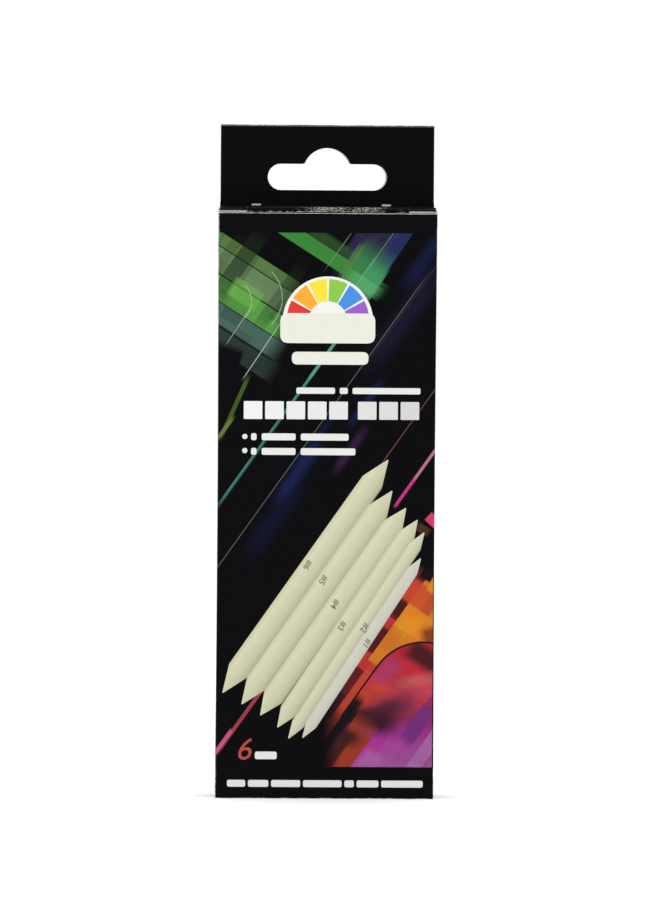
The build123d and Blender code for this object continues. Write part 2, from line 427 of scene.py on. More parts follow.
# Printed stump: the picture of one stump. Across runs from -1 to 1, left to right.
printed_stump, given, result = new_group(
    "printed stump",
    {"Place": None, "Foot": None, "Angle": 0.0, "Length": 80.0, "Half width": 3.0, "Point": 9.0},
    ["Mask", "Across"],
)
offset = vector_maths(printed_stump, "SUBTRACT", given["Place"], given["Foot"])
offset = turned(printed_stump, offset, maths(printed_stump, "MULTIPLY", given["Angle"], -1))
offset = parts(printed_stump, offset)
from_end = maths(printed_stump, "SUBTRACT", given["Length"], offset[0])
nearer = maths(printed_stump, "MINIMUM", offset[0], from_end)
share = maths(printed_stump, "DIVIDE", nearer, given["Point"])
share = maths(printed_stump, "MINIMUM", maths(printed_stump, "MAXIMUM", share, 0.0), 1.0)
edge = maths(printed_stump, "MULTIPLY", maths(printed_stump, "POWER", share, 0.86), given["Half width"])
beyond = maths(printed_stump, "SUBTRACT", maths(printed_stump, "ABSOLUTE", offset[1]), edge)
inside = maths(printed_stump, "GREATER_THAN", nearer, 0.0)
fill(printed_stump, result["Mask"], maths(
    printed_stump, "MULTIPLY", ramp_down(printed_stump, beyond, -0.12, 0.06), inside
))
across = maths(printed_stump, "DIVIDE", offset[1], given["Half width"])
fill(printed_stump, result["Across"], maths(printed_stump, "MULTIPLY", across, -1))

# Patchwork: slanting cells, each with its own random tint.
patchwork, given, result = new_group(
    "patchwork", {"Place": None, "Angle": 0.0, "Skew": 0.0, "Cell": (6.0, 5.0, 1.0), "Seed": 0.0}, ["Tint"]
)
cells = parts(patchwork, given["Cell"])
corner = []
for k, slant in enumerate(("Angle", "Skew")):
    place = turned(patchwork, given["Place"], maths(patchwork, "MULTIPLY", given[slant], -1))
    corner.append(maths(patchwork, "FLOOR", maths(patchwork, "DIVIDE", parts(patchwork, place)[1], cells[k])))
corner = placed(patchwork, "CombineXYZ", enumerate([*corner, given["Seed"]])).outputs[0]
fill(patchwork, result["Tint"], placed(patchwork, "TexWhiteNoise", {"Vector": corner}).outputs["Value"])

RISING = math.radians(54.7)  # the beams and the pictured stumps climb to the right at this angle
STEEPER = RISING + 0.03  # a few of the green beams climb a little more steeply
FALLING = math.radians(-32.5)  # and the crossing bands fall at this one


def band(tree, sheet, ink, colour, middle, angle, length, width, side=0.1, end=0.1, strength=1.0):
    """The ink with one more band over it."""
    mask = use(
        tree, ink_band, Place=sheet, Middle=(*middle, 0), Angle=angle, Length=length, Width=width,
        Side_softness=side, End_softness=end,
    )["Mask"]
    if strength != 1.0:
        mask = maths(tree, "MULTIPLY", mask, strength)
    return mixed(tree, mask, ink, colour)


def colour_ramp(tree, value, stops):
    """A colour for the value, from (position, colour) stops."""
    node = placed(tree, "ValToRGB", {0: value})
    elements = node.color_ramp.elements
    while len(elements) < len(stops):
        elements.new(0.5)
    for element, (position, colour) in zip(elements, stops):
        element.position, element.color = position, (*colour, 1)
    return node.outputs["Color"]


# Colours of the design, as inks on black
LEAF, GRASS, MOSS = (0.034, 0.18, 0.03), (0.08, 0.27, 0.05), (0.08, 0.155, 0.042)
SAGE, SLATE = (0.11, 0.19, 0.085), (0.021, 0.034, 0.031)
NAVY, VIOLET, PLUM, TEAL = (0.012, 0.02, 0.11), (0.03, 0.016, 0.075), (0.055, 0.018, 0.07), (0.06, 0.27, 0.21)
CRIMSON, EMBER = (0.36, 0.03, 0.045), (0.50, 0.075, 0.02)
MAROON, MAGENTA = (0.10, 0.012, 0.02), (0.36, 0.035, 0.11)

ART_LOW, ART_HIGH = 8.7, 155.1  # the design stops at a black band above and below
BORDER_BLACK = (0.0014, 0.0014, 0.002)

# Size, lower and upper point (x, z), half width, length of the points and tone of each pictured stump
PICTURED = [
    (6, (-28.2, 28.7), (17.05, 93.3), 3.15, 7.8, 0.0),
    (5, (-22.95, 25.6), (18.2, 84.8), 3.1, 7.3, 0.0),
    (4, (-17.8, 22.6), (22.0, 80.1), 3.0, 6.5, 0.0),
    (3, (-13.1, 19.3), (25.2, 76.9), 2.45, 5.7, 0.05),
    (2, (-10.1, 16.2), (27.1, 73.5), 1.8, 5.0, 0.1),
    (1, (-6.25, 16.4), (26.2, 66.4), 1.6, 4.6, 0.6),
]
STUMP_LIGHT, STUMP_MIDDLE = (0.57, 0.56, 0.40), (0.48, 0.48, 0.325)
STUMP_EDGE, STUMP_DARK = (0.36, 0.375, 0.235), (0.13, 0.145, 0.08)
STUMP_PALE = (0.50, 0.49, 0.46)


def bands(tree, sheet, ink, rows):
    """The ink with a band over it for each row of band's values, in turn."""
    for row in rows:
        ink = band(tree, sheet, ink, *row)
    return ink


def bordered(tree, sheet, ink, black):
    """The ink, with a plain black band below and above the design."""
    for low, high in ((-1.0, ART_LOW), (ART_HIGH, 170.0)):
        ink = band(tree, sheet, ink, black, (0.0, (low + high) / 2), 0.0, 70.0, high - low, 0.08, 0.1)
    return ink


def front_art(tree, place_mm, x, y, z):
    """The whole front design, as one colour on the sheet's own millimetres: across, and up from the base."""
    sheet = flat_place(tree, x, z)
    ink = INK_BLACK

    # Faint blue drifts over the black middle of the sheet
    for colour, middle, length, width, strength in (
        (NAVY, (-7.8, 89.6), 17.0, 3.0, 0.45),
        (NAVY, (-14.0, 77.0), 22.0, 4.6, 0.13),
        (NAVY, (10.6, 108.5), 13.0, 1.8, 0.45),
        (VIOLET, (21.0, 132.0), 30.0, 5.0, 0.22),
        (PLUM, (6.4, 95.6), 13.0, 2.0, 0.45),
        (NAVY, (26.5, 148.0), 16.0, 3.2, 0.3),
        (NAVY, (-3.6, 97.6), 16.0, 2.0, 0.2),
    ):
        ink = band(tree, sheet, ink, colour, middle, RISING, length, width, width, length * 0.5, strength)

    # Green patchwork in the upper left corner, in rows that fall to the right from its top line
    row_along = Vector((math.cos(FALLING), math.sin(FALLING)))
    row_down = Vector((row_along.y, -row_along.x))
    row_start = Vector((-29.4, 155.3)) + 2.5 * row_along
    for colour, depth, width in (
        (MOSS, 1.65, 3.3), (SAGE, 6.6, 6.6), (GRASS, 13.05, 6.3), ((0.052, 0.105, 0.088), 18.95, 5.5),
        (SLATE, 24.6, 5.8),
    ):
        middle = row_start + depth * row_down
        ink = band(tree, sheet, ink, colour, middle, FALLING, 43.0 + 0.64 * depth, width, 0.2, 6.0)
    patch = use(tree, patchwork, Place=sheet, Angle=FALLING, Skew=RISING, Cell=(3.3, 5.6, 1.0), Seed=3.0)
    in_corner = use(
        tree, ink_band, Place=sheet, Middle=(*(row_start + 14.0 * row_down), 0), Angle=FALLING, Length=58.0,
        Width=28.0, Side_softness=0.4, End_softness=5.0,
    )["Mask"]
    shade = maths(tree, "MULTIPLY", maths(tree, "MULTIPLY", patch["Tint"], 0.4), in_corner)
    ink = mixed(tree, shade, ink, (0.008, 0.014, 0.01))
    ink = bands(tree, sheet, ink, [
        ((0.006, 0.014, 0.007), middle, RISING, 19.0, width, 0.5, 6.0, strength)
        for middle, width, strength in (
            ((-24.2, 146.4), 4.6, 0.6), ((-13.0, 137.5), 3.6, 0.4), ((-29.6, 146.0), 3.0, 0.3)
        )
    ])
    for depth, width in ((3.4, 0.3), (9.9, 0.4), (16.3, 0.25), (21.9, 0.7)):
        middle, length = row_start + depth * row_down, 42.0 + 0.8 * depth
        ink = band(tree, sheet, ink, (0.005, 0.012, 0.006), middle, FALLING, length, width, 0.2, 5.0)
    hair = (0.34, 0.44, 0.34)
    ink = bands(tree, sheet, ink, (
        ((0.13, 0.36, 0.06), (-22.5, 138.2), FALLING, 9.0, 5.6, 0.3, 1.0, 0.45),
        ((0.0016, 0.0016, 0.0028), (-29.0, 115.8), RISING + 0.3, 17.0, 7.5, 1.0, 3.0),
        (hair, (-24.1, 129.8), STEEPER, 12.0, 0.16, 0.12, 3.0, 0.75),
        (hair, (-17.5, 123.4), STEEPER, 19.0, 0.16, 0.12, 3.0, 0.75),
        (hair, (-18.2, 122.2), STEEPER, 16.0, 0.16, 0.12, 3.0, 0.75),
    ))
    for centre, radius in (((-27.2, 136.2), 6.4), ((-22.6, 137.2), 10.2)):
        off_line = maths(tree, "SUBTRACT", vector_maths(tree, "DISTANCE", sheet, (*centre, 0)), radius)
        ring = ramp_down(tree, maths(tree, "ABSOLUTE", off_line), 0.05, 0.17)
        arc_part = maths(tree, "GREATER_THAN", x, centre[0] + 0.72 * radius)
        drawn = maths(tree, "MULTIPLY", maths(tree, "MULTIPLY", ring, arc_part), 0.7)
        ink = mixed(tree, drawn, ink, (0.30, 0.44, 0.26))
    ink = bands(tree, sheet, ink, (
        ((0.045, 0.078, 0.012), (-25.2, 107.4), math.radians(66), 17.0, 1.1, 0.3, 4.0),
        ((0.11, 0.14, 0.035), (-27.9, 101.3), RISING, 7.0, 1.0, 0.25, 3.0),
    ))

    # Green beam across the top, and the blue and violet light that meets it from the upper right
    for middle, length, width, colour, strength in (
        ((10.6, 150.4), 20.0, 9.0, (0.014, 0.012, 0.032), 1.0),
        ((7.8, 153.0), 10.0, 2.6, (0.020, 0.012, 0.05), 0.8),
        ((11.8, 151.4), 14.0, 1.8, (0.024, 0.015, 0.055), 0.8),
        ((14.3, 151.0), 15.0, 1.2, (0.012, 0.018, 0.035), 0.8),
        ((17.1, 149.2), 20.0, 3.7, (0.012, 0.020, 0.075), 1.0),
        ((15.9, 150.6), 16.0, 0.8, (0.03, 0.02, 0.10), 0.9),
    ):
        ink = band(tree, sheet, ink, colour, middle, STEEPER, length, width, 0.4, 4.0, strength)
    ink = bands(tree, sheet, ink, (
        ((0.022, 0.06, 0.018), (-0.5, 153.2), FALLING, 24.0, 3.0, 1.5, 12.0, 0.8),
        ((0.035, 0.17, 0.06), (9.6, 143.6), STEEPER, 13.0, 9.5, 0.6, 9.0, 0.9),
        (LEAF, (-1.1, 149.5), FALLING, 34.0, 4.1, 0.25, 8.0),
        ((0.07, 0.15, 0.05), (6.6, 147.6), STEEPER, 9.0, 2.0, 0.4, 5.0, 0.7),
        ((0.05, 0.25, 0.10), (11.9, 141.5), STEEPER, 8.6, 4.6, 0.25, 5.0, 0.75),
        ((0.05, 0.24, 0.12), (10.3, 144.2), STEEPER, 9.0, 1.0, 0.2, 4.0, 0.7),
        ((0.10, 0.36, 0.16), (9.6, 141.2), FALLING, 9.0, 3.6, 0.3, 4.0, 0.45),
        ((0.22, 0.36, 0.24), (3.2, 150.6), RISING, 11.0, 0.16, 0.12, 5.0, 0.6),
        ((0.22, 0.36, 0.24), (12.6, 147.6), RISING, 19.0, 0.16, 0.12, 5.0, 0.6),
    ))

    # Long thin light lines that climb to the right
    for colour, middle, length, width, strength in (
        (TEAL, (-14.0, 102.3), 52.0, 0.75, 0.7),
        ((0.07, 0.27, 0.15), (-1.2, 120.4), 12.0, 0.9, 0.9),
        ((0.11, 0.11, 0.085), (8.6, 117.4), 60.0, 0.2, 0.9),
        ((0.11, 0.12, 0.10), (-20.0, 77.0), 50.0, 0.2, 0.8),
        ((0.16, 0.06, 0.055), (22.6, 102.6), 26.0, 0.22, 0.9),
        ((0.36, 0.14, 0.17), (24.9, 88.9), 19.0, 0.8, 1.0),
        ((0.44, 0.025, 0.17), (21.6, 84.2), 9.0, 0.8, 1.0),
        ((0.25, 0.035, 0.055), (-22.6, 22.2), 24.0, 1.0, 1.0),
        ((0.55, 0.10, 0.20), (-27.9, 15.4), 8.0, 1.05, 0.7),
        ((0.02, 0.035, 0.03), (-21.0, 92.0), 40.0, 0.5, 0.6),
        ((0.018, 0.022, 0.028), (24.0, 138.0), 40.0, 0.3, 0.8),
    ):
        ink = band(tree, sheet, ink, colour, middle, RISING, length, width, 0.12, length * 0.2, strength)

    ink = bands(tree, sheet, ink, (
        ((0.50, 0.04, 0.11), (29.2, 76.6), FALLING - 0.2, 3.4, 2.8, 0.2, 0.3),
        ((0.055, 0.025, 0.01), (26.6, 74.0), FALLING, 3.6, 2.4, 0.6, 1.0, 0.9),
    ))
    return bordered(tree, sheet, ink, BORDER_BLACK)


def wear_near(tree, place_mm, distance, reach, amount):
    """Crease wear within reach of a line."""
    return use(tree, crease_wear, Place=place_mm, Distance=distance, Reach=reach, Amount=amount)["Worn"]


def to_sides(tree, across, half_width):
    """How far a place is from the nearer side of a panel."""
    return maths(tree, "SUBTRACT", half_width, maths(tree, "ABSOLUTE", across))


def front_wear(tree, place_mm, x, y, z):
    """Worn ink along the two upright creases and at the cut edges of the front panel."""
    to_side = to_sides(tree, x, front_high.x / MM)
    to_top = maths(tree, "SUBTRACT", front_high.z / MM, z)
    to_end = maths(tree, "MINIMUM", z, to_top)
    sides = wear_near(tree, place_mm, to_side, 0.55, 0.34)
    ends = wear_near(tree, place_mm, to_end, 0.5, 0.3)
    stretched = vector_maths(tree, "MULTIPLY", place_mm, (0.3, 1.0, 1.0))
    line = wear_near(tree, stretched, to_top, 0.3, 0.52)
    return maths(tree, "MAXIMUM", maths(tree, "MAXIMUM", sides, ends), line)


front_print = printed_board("front print", front_art, front_wear)


def upright_crease(side, radius):
    """Section points round one of the front panel's upright creases, from left to right."""
    start = 180 if side < 0 else 270
    return arc((side * (HALF_WIDTH - BEND), -HALF_DEPTH + BEND), radius, start, start + 90, 6)


outer, inner = (
    upright_crease(-1, BEND - inset) + upright_crease(1, BEND - inset) for inset in (SKIN, BOARD)
)
front_sheet = board_sheet(
    "front_sheet", outer, inner, front_low.z, front_high.z, 24, True, front_print, drawn_in
)
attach(front_sheet, "carton")
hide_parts("front_panel")


def flat_ink(name, colour):
    """A solid printed ink, a little darker where the board's mottle shows."""
    material, shader = plain_material(name, colour, 0.45)
    tree = material.node_tree
    fibre = use(tree, board_fibre, Place=board_place(tree)[0])
    shade = maths(tree, "MULTIPLY", fibre["Mottle"], 0.22)
    dark = tuple(0.55 * part for part in colour)
    fill(tree, shader.inputs["Base Color"], mixed(tree, shade, colour, dark))
    shader.inputs["Specular IOR Level"].default_value = 0.15
    return material


def ink_piece(name, shapes, ink, sunk=0.0):
    """Printed shapes on the front, as thin flat pieces; each shape is a list of (x, z) in millimetres."""
    points, faces = [], []
    for shape in shapes:
        faces.append(tuple(range(len(points), len(points) + len(shape))))
        points += [(x * MM, -HALF_DEPTH + sunk * MM, z * MM) for x, z in shape]
    piece = mesh_object(name, points, faces)
    if isinstance(ink, tuple):
        ink = flat_ink(name.replace("_", " "), ink)
    piece.data.materials.append(ink)
    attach(piece, "carton")


def bar(middle, width, height, rounding=0.3):
    """A rounded bar about its middle."""
    (x, z), w, h = middle, width / 2, height / 2
    corners = [(x - w, z - h), (x + w, z - h), (x + w, z + h), (x - w, z + h)]
    return rounded_outline([(*corner, rounding * h * 2) for corner in corners])


def disc(middle, radius, start=0.0, end=360.0):
    """A disc, or the part of one between two angles."""
    points = arc(middle, radius, start, end, 40)
    return points[:-1] if end - start == 360 else points + [middle]


def row_of_bars(start, z, height, widths, gap):
    """Bars in a row, as a line of plain copy."""
    shapes = []
    for width in widths:
        shapes.append(bar((start + width / 2, z), width, height))
        start += width + gap
    return shapes


RED, RUST, FLAME = (0.42, 0.032, 0.028), (0.26, 0.034, 0.017), (0.44, 0.052, 0.021)
ORANGE, GOLD = (0.56, 0.17, 0.014), (0.60, 0.25, 0.016)
PURPLE, ORCHID = (0.13, 0.021, 0.155), (0.37, 0.032, 0.25)


def warm_art(tree, place_mm, x, y, z):
    """The warm corner: red and amber blocks above a dark arc, rose and lilac ones below it."""
    sheet = flat_place(tree, x, z)

    # How far outside the arc: a quarter turn at the upper right that runs on as a straight leg
    from_centre = turned(tree, vector_maths(tree, "SUBTRACT", sheet, (27.0, 27.8, 0)), -RISING)
    beside = vector_maths(tree, "MAXIMUM", from_centre, (0, -1000, -1000))
    off_arc = maths(tree, "SUBTRACT", vector_maths(tree, "LENGTH", beside), 15.3)
    under_arc = ramp_down(tree, off_arc, -0.1, 0.1)

    # Above the arc: a row of red and maroon blocks, and an orange field beside it
    blocks = MAROON
    for colour, middle, length, width, side, end, strength in (
        (RED, (22.9, 57.3), 5.2, 6.0, 0.3, 0.3, 0.95),
        ((0.055, 0.007, 0.009), (20.6, 52.0), 4.4, 6.0, 0.3, 0.3, 1.0),
        (RED, (17.6, 48.2), 3.2, 6.0, 0.3, 0.6, 0.9),
        ((0.075, 0.007, 0.010), (14.6, 43.4), 7.0, 6.0, 0.3, 0.5, 1.0),
        (RED, (11.2, 37.9), 5.0, 6.0, 0.3, 0.4, 0.95),
        ((0.09, 0.009, 0.014), (7.4, 33.0), 6.6, 6.0, 0.3, 0.5, 1.0),
        ((0.02, 0.005, 0.007), (2.8, 26.0), 8.0, 7.0, 1.5, 3.0, 0.9),
        (FLAME, (9.6, 31.2), 20.0, 2.6, 0.5, 9.0, 0.85),
        (ORANGE, (23.3, 47.9), 29.0, 7.6, 0.15, 1.0, 1.0),
        (ORANGE, (30.6, 48.0), 18.0, 9.0, 0.3, 2.0, 1.0),
        (GOLD, (21.5, 47.4), 5.5, 3.6, 1.6, 3.0, 0.55),
        (GOLD, (24.6, 47.6), 6.0, 2.4, 1.0, 3.0, 0.4),
        (FLAME, (26.4, 55.4), 6.6, 9.0, 0.4, 1.2, 0.85),
        (GOLD, (29.6, 58.6), 4.0, 2.0, 0.5, 1.0, 0.6),
    ):
        blocks = band(tree, sheet, blocks, colour, middle, RISING, length, width, side, end, strength)
    blocks = bands(tree, sheet, blocks, (
        ((0.16, 0.03, 0.012), (29.6, 45.2), 0.3, 6.0, 4.4, 2.4, 3.0, 0.9),
        ((0.004, 0.003, 0.003), (28.8, 63.6), RISING + 0.15, 7.6, 3.4, 0.3, 1.0),
    ))

    # Under it: red at the top, rose in the middle, a dark smoke, and lilac at the foot
    level = maths(tree, "DIVIDE", maths(tree, "SUBTRACT", z, 8.0), 36.0)
    glow = colour_ramp(tree, level, [
        (0.0, (0.28, 0.08, 0.27)), (0.16, (0.28, 0.05, 0.24)), (0.28, (0.26, 0.024, 0.20)),
        (0.40, (0.17, 0.02, 0.07)), (0.52, (0.46, 0.036, 0.055)), (0.8, (0.43, 0.021, 0.035)),
        (1.0, (0.36, 0.018, 0.022)),
    ])
    glow = bands(tree, sheet, glow, (
        (MAGENTA, (16.8, 35.0), RISING, 8.0, 4.6, 4.0, 5.0, 1.0),
        (FLAME, (11.8, 28.2), 0.35, 11.0, 5.0, 3.5, 4.0, 0.75),
        ((0.03, 0.008, 0.010), (27.6, 38.8), FALLING, 11.0, 5.6, 3.0, 4.0, 0.92),
        ((0.42, 0.085, 0.085), (26.0, 32.4), 0.2, 12.0, 3.4, 2.4, 5.0, 0.75),
        ((0.50, 0.05, 0.09), (25.0, 28.6), 0.35, 10.0, 3.0, 2.0, 4.0, 0.8),
        ((0.14, 0.02, 0.05), (19.4, 25.6), 0.25, 12.0, 6.0, 5.0, 6.0, 0.85),
        (PURPLE, (25.4, 20.4), RISING, 11.0, 4.2, 0.4, 3.0, 0.9),
        (PURPLE, (28.6, 25.4), RISING, 8.0, 2.6, 0.4, 2.0, 0.55),
        (ORCHID, (13.8, 15.4), RISING, 9.0, 5.0, 1.2, 4.0, 0.9),
        ((0.34, 0.13, 0.34), (27.6, 13.2), RISING, 13.0, 3.6, 0.3, 2.0, 0.8),
        ((0.30, 0.10, 0.29), (12.5, 10.4), RISING, 6.0, 4.6, 0.6, 3.0, 0.7),
        ((0.012, 0.006, 0.006), (11.6, 21.6), -0.15, 14.0, 6.0, 4.6, 8.0, 1.0),
        ((0.05, 0.010, 0.018), (15.5, 23.8), 0.4, 11.0, 4.0, 3.6, 6.0, 0.8),
        (RUST, (6.2, 13.4), RISING, 17.0, 7.0, 0.4, 7.0, 1.0),
        ((0.02, 0.008, 0.007), (3.8, 18.8), FALLING, 12.0, 4.0, 3.0, 5.0, 0.9),
        ((0.03, 0.010, 0.008), (2.6, 13.0), RISING, 11.0, 4.0, 1.0, 4.0, 0.9),
        ((0.006, 0.004, 0.005), (-0.2, 16.2), RISING, 30.0, 5.6, 1.6, 3.0, 1.0),
    ))
    patch = use(tree, patchwork, Place=sheet, Angle=FALLING, Skew=RISING, Cell=(3.6, 4.4, 1.0), Seed=5.0)
    tint = mixed(tree, under_arc, blocks, glow)
    tint = mixed(tree, maths(tree, "MULTIPLY", patch["Tint"], 0.24), tint, (0.03, 0.006, 0.012))
    on_arc = ramp_down(tree, maths(tree, "ABSOLUTE", off_arc), 0.16, 0.36)
    above = maths(tree, "GREATER_THAN", z, 22.5)
    tint = mixed(tree, maths(tree, "MULTIPLY", on_arc, above), tint, (0.012, 0.004, 0.005))
    from_left = maths(tree, "SUBTRACT", 1.0, ramp_down(tree, x, -1.0, 5.0))
    top_end = ramp_down(tree, maths(tree, "MULTIPLY_ADD", patch["Tint"], 3.0, z), 64.0, 67.0)
    return mixed(tree, maths(tree, "MULTIPLY", from_left, top_end), INK_BLACK, tint)


WARM_EDGE = [
    (27.5, 67.5), (0.2, 26.5), (-4.5, 19.0), (-4.5, ART_LOW + 0.05), (29.45, ART_LOW + 0.05), (29.45, 67.5)
]
ink_piece("warm_corner", [WARM_EDGE], printed_board("warm print", warm_art), 0.026)

# Picture of the six stumps, each one over the edge of the last
for size, foot, head, half_width, point, paleness in PICTURED:
    foot, head = Vector(foot), Vector(head)
    along = (head - foot).normalized()
    across = half_width * Vector((along.y, -along.x))
    low_neck, high_neck = foot + point * along, head - point * along
    outline = [
        (*foot, 0.25), (*(low_neck + across), 1.5), (*(high_neck + across), 1.5),
        (*head, 0.25), (*(high_neck - across), 1.5), (*(low_neck - across), 1.5),
    ]

    def drawn_stump(tree, place_mm, x, y, z):
        """Soft light from the upper left over a round pale shaft."""
        sheet = flat_place(tree, x, z)
        drawn = use(
            tree, printed_stump, Place=sheet, Foot=(*foot, 0), Angle=math.atan2(along.y, along.x),
            Length=(head - foot).length, Half_width=half_width, Point=point,
        )
        tone = colour_ramp(tree, maths(tree, "MULTIPLY_ADD", drawn["Across"], 0.5, 0.5), [
            (0.0, STUMP_MIDDLE), (0.2, STUMP_LIGHT), (0.65, STUMP_MIDDLE), (0.93, STUMP_EDGE),
            (1.0, STUMP_DARK),
        ])
        blotches = noise(tree, vector_maths(tree, "MULTIPLY", sheet, (0.45, 0.25, 1.0)), 1.0, 3.0)
        tone = mixed(tree, maths(tree, "MULTIPLY", blotches, 0.22), tone, (0.36, 0.38, 0.24))
        return mixed(tree, paleness, tone, STUMP_PALE)

    stump_print = printed_board(f"pictured stump {size}", drawn_stump)
    ink_piece(f"pictured_stump_{size}", [rounded_outline(outline)], stump_print, 0.005 + 0.003 * (size - 1))

# Badge: half a colour wheel over a plain plaque, with a plain strip under it
BADGE = (0.1, 130.8)
HUB = (BADGE[0], BADGE[1] + 0.4)
PLAQUE_CREAM, RIM_WHITE = (0.70, 0.70, 0.62), (0.76, 0.76, 0.72)
ink_piece("badge_rim", [disc(BADGE, 12.4, 2, 178)], RIM_WHITE, 0.012)
ink_piece("badge_plaque", [bar((BADGE[0], 129.0), 26.0, 8.2, 0.28)], PLAQUE_CREAM)
WHEEL = [
    ("red", (0.62, 0.035, 0.03)), ("orange", (0.84, 0.36, 0.03)), ("yellow", (0.86, 0.66, 0.04)),
    ("green", (0.22, 0.50, 0.06)), ("blue", (0.05, 0.24, 0.66)), ("violet", (0.28, 0.10, 0.50)),
]
for k, (hue, colour) in enumerate(WHEEL):
    high, low = 180 - k * 30 - 1.6, 150 - k * 30 + 1.6  # a thin white gap on each side
    ink_piece(f"badge_{hue}", [arc(HUB, 11.3, low, high, 8) + arc(HUB, 5.2, high, low, 6)], colour, 0.002)
ink_piece("badge_strip", [bar((0.8, 120.8), 21.0, 3.5, 0.45)], PLAQUE_CREAM)

# Copy lines: plain bars, where a shopper would read
ink_piece(
    "copy_bars",
    row_of_bars(-8.4, 111.9, 1.7, [10.6, 2.2, 18.6], 1.3)
    + row_of_bars(-20.7, 99.2, 1.9, [1.5, 9.3, 13.1], 1.4)
    + row_of_bars(-20.7, 95.2, 1.9, [1.5, 9.3, 15.0], 1.4)
    + [disc((-22.4, 99.25), 0.72), disc((-22.4, 95.4), 0.72)]
    + row_of_bars(-26.7, 4.1, 1.9, [5.0, 5.6, 8.0, 10.6, 2.6, 6.0, 11.4], 0.75)
    + [bar((-16.1, 11.8), 6.0, 2.1)],
    (0.68, 0.68, 0.66),
)
HEADLINE = [0.74, 0.72, 0.70, 0.68, 0.66, 0.63, 0.60, 0.57]
for k, tone in enumerate(HEADLINE):
    start = -22.85 + k * 5.85 + (2.0 if k > 4 else 0.0)
    block = bar((start + 2.65, 106.5), 5.1, 4.9, 0.06)
    ink_piece(f"headline_block_{k + 1}", [block], (tone, tone, tone * 0.99))


def printed_numeral(name, text, middle, height, turn, colour, slant=0.0, weight=0.0):
    """A printed numeral, about its middle, on the front."""
    curve = bpy.data.curves.new(name, "FONT")
    curve.body, curve.size = text, height / 0.7 * MM  # a figure is 0.7 of the type's size
    curve.align_x, curve.align_y = "CENTER", "CENTER"
    curve.shear, curve.offset = slant, weight * MM
    curve_object = bpy.data.objects.new(name + "_curve", curve)
    bpy.context.scene.collection.objects.link(curve_object)
    bpy.context.view_layer.update()
    mesh = bpy.data.meshes.new_from_object(curve_object)
    bpy.data.objects.remove(curve_object)
    upright = Matrix.Rotation(turn, 4, "Y") @ Matrix.Rotation(math.pi / 2, 4, "X")
    mesh.transform(Matrix.Translation((middle[0] * MM, -HALF_DEPTH, middle[1] * MM)) @ upright)
    piece = bpy.data.objects.new(name, mesh)
    bpy.context.scene.collection.objects.link(piece)
    mesh.materials.clear()
    mesh.materials.append(plain_material(name.replace("_", " "), colour, 0.45)[0])
    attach(piece, "carton")


printed_numeral("count_numeral", "6", (-22.3, 13.2), 6.0, 0.0, (0.36, 0.026, 0.018), 0.25)
LABELS = [(6, -5.0, 64.1), (5, -0.7, 60.0), (4, 2.6, 53.4), (3, 4.5, 47.4), (2, 10.8, 46.9), (1, 11.4, 42.7)]
LABEL_GREY = (0.13, 0.135, 0.095)
for size, x, z in LABELS:
    name = f"pictured_label_{size}"
    printed_numeral(name, f"#{size}", (x, z), 1.7, -RISING - math.pi, LABEL_GREY, 0.0, 0.03)

# Side, back and glue panels.
# The rest of the sleeve. The right side panel ends in a glue flap inside the back panel, whose raw right
# edge laps over it. Nothing of these sides is seen from the front, so their print is kept plain.


def side_art(tree, place_mm, x, y, z):
    """A few slanting beams over black, carried round from the front."""
    sheet = flat_place(tree, y, z)
    ink = INK_BLACK
    for colour, middle, angle, length, width, strength in (
        (MOSS, (0.0, 140.0), FALLING, 40.0, 7.0, 0.8),
        (GRASS, (0.0, 129.0), FALLING, 40.0, 3.0, 0.8),
        (NAVY, (0.0, 90.0), RISING, 60.0, 6.0, 1.0),
        (TEAL, (2.0, 100.0), RISING, 60.0, 0.7, 0.8),
        (CRIMSON, (0.0, 38.0), RISING, 40.0, 6.0, 0.8),
        (EMBER, (3.0, 30.0), RISING, 30.0, 3.0, 0.8),
        (MAGENTA, (0.0, 18.0), FALLING, 30.0, 6.0, 0.7),
    ):
        ink = band(tree, sheet, ink, colour, middle, angle, length, width, 0.8, 6.0, strength)
    return bordered(tree, sheet, ink, INK_BLACK)


def side_wear(tree, place_mm, x, y, z):
    """Worn ink along a side panel's two upright creases."""
    return wear_near(tree, place_mm, to_sides(tree, y, HALF_DEPTH / MM), 0.7, 0.32)


def back_art(tree, place_mm, x, y, z):
    """Black with a few beams, a plain stump for each size, and a white patch for a shop's own sticker."""
    sheet = flat_place(tree, x, z)
    ink = INK_BLACK
    for colour, middle, angle, length, width in (
        (MOSS, (18.0, 146.0), -FALLING, 50.0, 6.0),
        (NAVY, (12.0, 120.0), -RISING, 60.0, 7.0),
        (CRIMSON, (-18.0, 30.0), -RISING, 40.0, 5.0),
        (MAGENTA, (-24.0, 18.0), -RISING, 30.0, 4.0),
    ):
        ink = band(tree, sheet, ink, colour, middle, angle, length, width, 1.2, 12.0, 0.8)
    for k, (_, foot, head, half_width, point, _) in enumerate(PICTURED):
        length = 0.6 * (Vector(head) - Vector(foot)).length
        drawn = use(
            tree, printed_stump, Place=sheet, Foot=(24.0 - length, 122.0 - k * 9.5, 0), Angle=0.0,
            Length=length, Half_width=half_width * 0.8, Point=point * 0.7,
        )
        ink = mixed(tree, drawn["Mask"], ink, STUMP_MIDDLE)
    return band(tree, sheet, ink, (0.74, 0.74, 0.72), (8.0, 24.0), 0.0, 34.0, 18.0, 0.1, 0.1)


def back_wear(tree, place_mm, x, y, z):
    """Worn ink along the back panel's left crease and its raw right edge."""
    return wear_near(tree, place_mm, to_sides(tree, x, HALF_WIDTH / MM), 0.7, 0.32)


side_print = printed_board("side print", side_art, side_wear)
back_print = printed_board("back print", back_art, back_wear)

